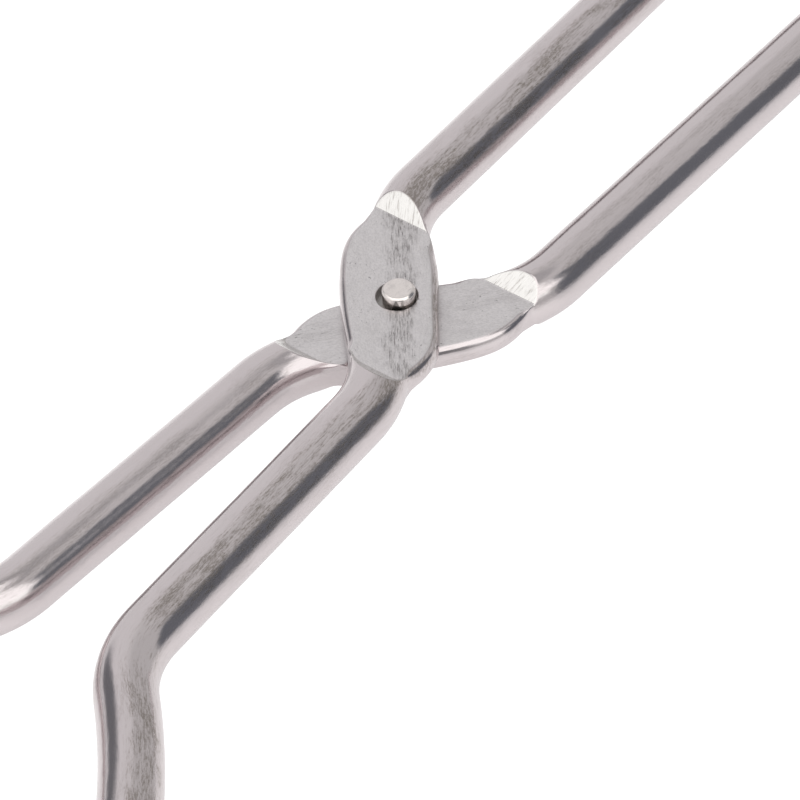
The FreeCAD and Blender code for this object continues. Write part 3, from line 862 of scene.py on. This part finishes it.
def arm_material(name, shift, side, smoke_strength, band_strength):
    """Drawn steel rod polished along its length, smoky in places, with matt forged flats.

    shift slides the patterns along the rod; side is 1 for the upper arm and -1 for the mirrored one.
    """
    material, s = new_material(name)
    place = s.attribute("rod_place", "Vector")
    forged, shoulder, recess = (s.attribute(mask) for mask in ("forged", "shoulder", "recess"))
    along, across, height = s.split(place)

    def pattern(scale, row, detail, roughness, distortion=0.0, over=place):
        """Noise per millimetre along, across and up the rod; row keeps the patterns apart."""
        return s.noise(s.stretch(over, scale, (shift, row, 0)), detail, roughness, distortion)

    # rod: smoky oxide in blotches, streaks and fine polishing lines
    blotch = pattern((0.11, 0.42, 0.42), 0, 4, 0.6, 0.5)
    streak = pattern((0.75, 4.6, 4.6), 3, 6, 0.80, 0.08)
    lines = pattern((0.30, 11.0, 11.0), 7, 4, 0.75)
    fine_smoke = s.math("ADD", s.product(streak, 0.40), s.product(lines, 0.24))
    smoke = s.math("ADD", s.product(blotch, 0.46), fine_smoke)
    smoke = s.step(smoke, 0.50, 0.64)
    # most of it sits along the top, leaning to one side
    lean = math.radians(SMOKE_LEAN)
    topness = s.math("ADD", s.product(across, side * math.sin(lean) / ROD_R),
                     s.product(height, math.cos(lean) / ROD_R))
    smoke = s.product(smoke, s.step(topness, 0.75, 0.95, 0.20 * smoke_strength, smoke_strength))
    grit = pattern((2.4, 8.5, 8.5), 71, 3, 0.7)
    smoke = s.product(smoke, s.step(grit, 0.37, 0.63, 0.42, 1.60))
    rod_colour = s.mix(smoke, STEEL, SMOKE)
    rod_rough = s.math("ADD", s.step(streak, 0.35, 0.7, 0.11, 0.17), s.product(smoke, 0.12))

    # forged flats: matt, with fine grain, a band of dark streaks and a few pits
    band_line = s.math("MULTIPLY_ADD", s.math("SUBTRACT", along, MIDDLE_S), BAND_SLOPE, BAND_SHIFT)
    drift = s.math("SUBTRACT", across, band_line)
    meander = pattern((0.34, 0.34, 0.34), 61, 3, 0.6)
    strayed = s.math("MULTIPLY_ADD", s.math("SUBTRACT", meander, 0.5), BAND_STRAY, drift)
    band = s.product(s.step(strayed, -2.05, -0.4), s.step(strayed, 0.8, 1.7, 1.0, 0.0))
    slant = s.add("CombineXYZ", {"X": along, "Y": drift, "Z": height}).outputs["Vector"]
    flat_streak = pattern((0.75, 4.4, 1.0), 13, 7, 0.85, 0.25, over=slant)
    flat_grain = pattern((7.0, 7.0, 7.0), 0, 4, 0.75)
    cloud = pattern((0.5, 0.8, 0.8), 17, 4, 0.6, 0.4)
    soot = s.math("MULTIPLY_ADD", s.step(flat_streak, 0.46, 0.62), 0.92, 0.10)
    soot = s.product(soot, s.product(band, s.step(cloud, 0.28, 0.50), band_strength))
    soot = s.math("ADD", soot, s.step(flat_streak, 0.50, 0.75, 0.0, 0.22))
    soot = s.math("ADD", soot, s.step(cloud, 0.45, 0.8, 0.0, 0.16))
    pits = pattern((4.2, 5.0, 5.0), 41, 2, 0.5)
    pitted = pattern((0.45, 0.45, 0.45), 47, 2, 0.5)
    pit = s.product(s.step(pits, 0.66, 0.72), s.step(pitted, 0.52, 0.62))
    flat_colour = s.mix(s.step(flat_grain, 0.35, 0.72), FORGED, FORGED_GREY)
    flat_colour = s.mix(soot, flat_colour, FLAT_STAIN_AND_SHADE)
    flat_colour = s.mix(s.product(pit, 0.75), flat_colour, PIT)
    flat_rough = s.math("ADD", s.step(flat_grain, 0.3, 0.7, 0.30, 0.40), s.product(soot, 0.08))

    # sloped shoulders: bright from the die, with fine lines down the slope
    drag = pattern((0.7, 5.5, 0.7), 53, 4, 0.7)
    shoulder_colour = s.mix(s.step(drag, 0.51, 0.70), BRIGHT, SHOULDER_LINE)

    # the regions together, with a thin line of painted shade along the edge of each flat and dull grey in
    # the recess
    rim = s.math("SUBTRACT", 1.0, s.math("ABSOLUTE", s.math("MULTIPLY_ADD", forged, 2.0, -1.0)))
    colour = s.mix(forged, rod_colour, flat_colour)
    colour = s.mix(shoulder, colour, shoulder_colour)
    # painted shade: a thin dark line along the edge of each flat, where the forged mask changes
    colour = s.mix(s.product(rim, 0.30), colour, FLAT_STAIN_AND_SHADE)
    colour = s.mix(recess, colour, RECESS_GREY)
    rough = s.blend(forged, rod_rough, flat_rough)
    rough = s.blend(shoulder, rough, s.step(drag, 0.3, 0.7, 0.20, 0.34))
    rough = s.blend(recess, rough, 0.5)

    # relief, in millimetres
    wave = pattern((0.30, 0.85, 0.85), 21, 3, 0.5, 0.3)
    ripple = pattern((1.1, 2.4, 2.4), 31, 4, 0.65)
    bumps = s.blend(forged, s.weighted((wave, 0.024), (ripple, 0.0075), (lines, 0.0016)),
                    s.weighted((flat_grain, 0.0035), (flat_streak, 0.006), (cloud, 0.03), (pit, -0.010)))
    bumps = s.blend(shoulder, bumps, s.product(drag, 0.006))
    s.metal(colour, rough, bumps)
    return material


def rivet_material():
    """Bright worn steel, with painted shade for dark facets in the head's side."""
    material, s = new_material("rivet_steel_look")
    place = s.add("TexCoord").outputs["Object"]
    mm_place = s.stretch(place, (1 / MM,) * 3)
    grain = s.noise(mm_place, 5, 0.6, scale=1.3)
    fine = s.noise(mm_place, 4, 0.7, scale=7.0)
    scratch = s.noise(s.stretch(place, (900, 9000, 900)), 3, 0.6)
    wear = s.math("ADD", s.step(grain, 0.40, 0.72, 0.08, 0.5), s.step(scratch, 0.55, 0.72, 0.0, 0.45))
    colour = s.mix(wear, RIVET_STEEL, RIVET_GREY)
    # each patch of painted facet shade starts at a point under the top edge and widens downwards
    x, y, z = s.split(s.attribute("head_place", "Vector"))
    turn = s.math("ARCTAN2", y, x)
    drop = s.math("MULTIPLY_ADD", z, -1.0, s.product(fine, 0.10))
    for direction, spread, share in SHADED_FACETS:
        beside = s.math("ABSOLUTE", s.math("SUBTRACT", turn, math.radians(direction)))
        inside = s.math("SUBTRACT", s.product(drop, math.radians(spread)), beside)
        shaded_patch = s.product(s.step(inside, 0.0, 0.03, 0.0, share), s.step(drop, 0.20, 0.28))
        colour = s.mix(shaded_patch, colour, FACET_SHADE)
    rough = s.step(fine, 0.3, 0.7, 0.16, 0.26)
    s.metal(colour, rough, s.math("ADD", s.product(grain, 0.008), s.product(fine, 0.0012)))
    return material


upper.data.materials.append(arm_material("upper_arm_steel_look", 0.0, 1, 0.88, 1.0))
lower.data.materials.append(arm_material("lower_arm_steel_look", 340.0, -1, 0.30, 0.22))
rivet.data.materials.append(rivet_material())

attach(upper, "upper")
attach(lower, "lower")
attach(rivet, "lower")
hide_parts("upper_arm")
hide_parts("lower_arm")
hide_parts("pivot_rivet")


# ---- camera, in degrees and millimetres ----

CAMERA_ELEVATION = 44.5
CAMERA_TURN = -49.791
CAMERA_ROLL = -3.764
CAMERA_DISTANCE = 445.6
CAMERA_TARGET = (-7.486, -5.742)
CAMERA_LENS = 257.03
SENSOR = 36.0


def camera_axes():
    """Right, up and forward of the camera in the row frame."""
    elevation, turn, roll = (math.radians(a) for a in (CAMERA_ELEVATION, CAMERA_TURN, CAMERA_ROLL))
    flat_right = Vector((-math.cos(turn), -math.sin(turn), 0))
    ahead = Vector((math.sin(turn), -math.cos(turn), 0))
    up = Vector((0, 0, 1))
    forward = ahead * math.cos(elevation) - up * math.sin(elevation)
    upright = ahead * math.sin(elevation) + up * math.cos(elevation)
    right = flat_right * math.cos(roll) + upright * math.sin(roll)
    above = -flat_right * math.sin(roll) + upright * math.cos(roll)
    return right, above, forward, flat_right, ahead


right, above, forward, PICTURE_RIGHT, PICTURE_AWAY = camera_axes()
target = Vector((PIVOT.x - CAMERA_TARGET[0] * MM, PIVOT.y - CAMERA_TARGET[1] * MM, PIVOT.z))
eye = target - forward * CAMERA_DISTANCE * MM
camera_data = bpy.data.cameras.new("studio_camera")
camera_data.sensor_width = SENSOR
camera_data.lens = CAMERA_LENS
camera_data.clip_start, camera_data.clip_end = 0.01, 100
camera = bpy.data.objects.new("studio_camera", camera_data)
bpy.context.scene.collection.objects.link(camera)
camera.matrix_world = Matrix((
    (right.x, above.x, -forward.x, eye.x),
    (right.y, above.y, -forward.y, eye.y),
    (right.z, above.z, -forward.z, eye.z),
    (0, 0, 0, 1),
))
bpy.context.scene.camera = camera


# ---- floor and studio light ----

FLOOR_SIZE = 12.0           # metres from the middle to each side
FLOOR_GAP = 0.00005         # metres under the lower arm
FLOOR_PAINT = (0.62, 0.62, 0.62, 1)
FLOOR_GLOW = (1.0, 0.99, 0.995, 1)
FLOOR_GLOW_STRENGTH = 0.52
FLOOR_GLOSS = (0.95, 0.95, 0.95, 1)
FLOOR_ROUGHNESS = 0.16
FLOOR_INDEX = 1.5
WHITE = (1.0, 1.0, 1.0, 1)
SEEN_STRENGTH = 1.25        # floor and world as the camera sees them

# the studio's surfaces
WALL = (0.87, 0.865, 0.87, 1)
CEILING = (0.78, 0.78, 0.77, 1)
GREY_WALL = (0.66, 0.66, 0.655, 1)
RIGHT_BOX = (1.60, 1.64, 1.60, 1)
STAND = (0.178, 0.190, 0.213, 1)
CARD = (0.20, 0.205, 0.22, 1)
LEFT_BOX = (1.35, 1.35, 1.33, 1)
GAP = (0.48, 0.48, 0.485, 1)
ROOM = (0.25, 0.25, 0.26, 1)
OVERHEAD_BOX = (1.55, 1.55, 1.53, 1)
SEEN = (1.25, 1.25, 1.25, 1)
# their places in degrees, azimuth rightwards from straight ahead: a patch is two azimuths, two
# elevations and how soft its edges are; an edge is its place and softness
CEILING_FROM, CEILING_TO = 40, 60
GREY_WALL_PATCH = (12, 180, -40, 54, 11)
CARD_PATCH = (-62, -36, 6, 35, 5)
LEFT_BOX_PATCH = (-140, -72, 27, 57, 7)
STAND_LEFT, STAND_LEFT_LEAN, STAND_LEFT_SOFT = 73.0, 0.48, 4
STAND_RIGHT, STAND_RIGHT_LEAN, STAND_RIGHT_SOFT = 117.0, 0.40, 3.5
STAND_LEANS_FROM = 14.0
STAND_TOP = (48.0, 5)
RIGHT_BOX_GAP, RIGHT_BOX_SOFT = 3.0, 4
RIGHT_BOX_BOTTOM, RIGHT_BOX_END, RIGHT_BOX_TOP = (19.0, 6), (150.0, 10), (55.0, 5)
GAP_BOTTOM, GAP_SIDE = (60.0, 3), (95.0, 10)
ROOM_SIDE, ROOM_BOTTOM = (152.0, 6), (-4.0, 3)
OVERHEAD_BOTTOM = (70.0, 3)
OVER_CAMERA_SIDE, OVER_CAMERA_BOTTOM = (104.0, 8), (30.0, 4)


def floor_piece():
    """A glossy white floor that the camera itself sees as plain bright white."""
    low, high, z = -FLOOR_SIZE, FLOOR_SIZE, lower_low.z - FLOOR_GAP
    corners = [(low, low, z), (high, low, z), (high, high, z), (low, high, z)]
    floor = new_piece("studio_floor", corners, [(0, 1, 2, 3)])
    material, s = new_material("studio_floor_white")
    diffuse = s.add("BsdfDiffuse", {"Color": FLOOR_PAINT})
    glow = s.add("Emission", {"Color": FLOOR_GLOW, "Strength": FLOOR_GLOW_STRENGTH})
    lit = s.add("AddShader", {0: diffuse.outputs[0], 1: glow.outputs[0]})
    gloss = s.add("BsdfGlossy", {"Color": FLOOR_GLOSS, "Roughness": FLOOR_ROUGHNESS})
    fresnel = s.add("Fresnel", {"IOR": FLOOR_INDEX})
    sheen = s.add("MixShader", {0: fresnel.outputs[0], 1: lit.outputs[0], 2: gloss.outputs[0]})
    bright = s.add("Emission", {"Color": WHITE, "Strength": SEEN_STRENGTH})
    by_camera = s.add("LightPath").outputs["Is Camera Ray"]
    both = s.add("MixShader", {0: by_camera, 1: sheen.outputs[0], 2: bright.outputs[0]})
    s.add("OutputMaterial", {"Surface": both.outputs[0]})
    floor.data.materials.append(material)
    return floor


def studio_world():
    """A soft studio all round: pale walls, soft boxes, a dark stand and a dark card, by direction."""
    world = bpy.data.worlds.new("studio")
    bpy.context.scene.world = world
    world.use_nodes = True
    world.node_tree.nodes.clear()
    s = Shade(world.node_tree)
    way = s.add("TexCoord").outputs["Generated"]

    def along(axis):
        return s.add("VectorMath", {0: way, 1: tuple(axis)}, operation="DOT_PRODUCT").outputs["Value"]

    to_right, to_away, to_up = along(PICTURE_RIGHT), along(PICTURE_AWAY), along((0, 0, 1))
    azimuth = s.product(s.math("ARCTAN2", to_right, to_away), 180 / math.pi)
    elevation = s.product(s.math("ARCSINE", to_up), 180 / math.pi)

    def over(value, at, soft):
        """0 below at and 1 above it, over plus or minus soft degrees."""
        return s.step(s.math("SUBTRACT", value, at), -soft, soft)

    def under(value, at, soft):
        return s.math("SUBTRACT", 1.0, over(value, at, soft))

    def patch(az_low, az_high, el_low, el_high, soft):
        inside = s.product(over(azimuth, az_low, soft), over(elevation, el_low, soft))
        outside = s.math("MAXIMUM", over(azimuth, az_high, soft), over(elevation, el_high, soft))
        return s.product(inside, s.math("SUBTRACT", 1.0, outside))

    # white walls that grow greyer to the right, under a slightly darker ceiling
    colour = s.mix(s.step(elevation, CEILING_FROM, CEILING_TO), WALL, CEILING)
    colour = s.mix(patch(*GREY_WALL_PATCH), colour, GREY_WALL)
    # a dark stand on the right, narrower towards its top, with a soft box beyond it
    rise = s.math("MAXIMUM", s.math("SUBTRACT", elevation, STAND_LEANS_FROM), 0.0)
    left_edge = s.math("ADD", s.product(rise, STAND_LEFT_LEAN), STAND_LEFT)
    right_edge = s.math("SUBTRACT", STAND_RIGHT, s.product(rise, STAND_RIGHT_LEAN))
    stand = s.product(over(azimuth, left_edge, STAND_LEFT_SOFT),
                      under(azimuth, right_edge, STAND_RIGHT_SOFT),
                      under(elevation, *STAND_TOP))
    right_box = s.product(over(azimuth, s.math("ADD", right_edge, RIGHT_BOX_GAP), RIGHT_BOX_SOFT),
                          over(elevation, *RIGHT_BOX_BOTTOM),
                          under(azimuth, *RIGHT_BOX_END),
                          under(elevation, *RIGHT_BOX_TOP))
    colour = s.mix(right_box, colour, RIGHT_BOX)
    colour = s.mix(stand, colour, STAND)
    # a dark card and a soft box on the left
    colour = s.mix(patch(*CARD_PATCH), colour, CARD)
    colour = s.mix(patch(*LEFT_BOX_PATCH), colour, LEFT_BOX)
    # a dark gap above the back wall, the unlit room behind the camera, and a soft box overhead
    from_away = s.math("ABSOLUTE", azimuth)
    gap = s.product(over(elevation, *GAP_BOTTOM), under(from_away, *GAP_SIDE))
    colour = s.mix(gap, colour, GAP)
    room = s.product(over(from_away, *ROOM_SIDE), over(elevation, *ROOM_BOTTOM))
    colour = s.mix(room, colour, ROOM)
    overhead = over(elevation, *OVERHEAD_BOTTOM)
    over_camera = s.product(over(from_away, *OVER_CAMERA_SIDE), over(elevation, *OVER_CAMERA_BOTTOM))
    colour = s.mix(s.math("MAXIMUM", overhead, over_camera), colour, OVERHEAD_BOX)
    light = s.add("Background", {"Color": colour, "Strength": 1.0})
    seen = s.add("Background", {"Color": SEEN, "Strength": 1.0})
    by_camera = s.add("LightPath").outputs["Is Camera Ray"]
    choose = s.add("MixShader", {0: by_camera, 1: light.outputs[0], 2: seen.outputs[0]})
    s.add("OutputWorld", {"Surface": choose.outputs[0]})


floor_piece()
studio_world()
bpy.context.scene.view_settings.view_transform = "Standard"
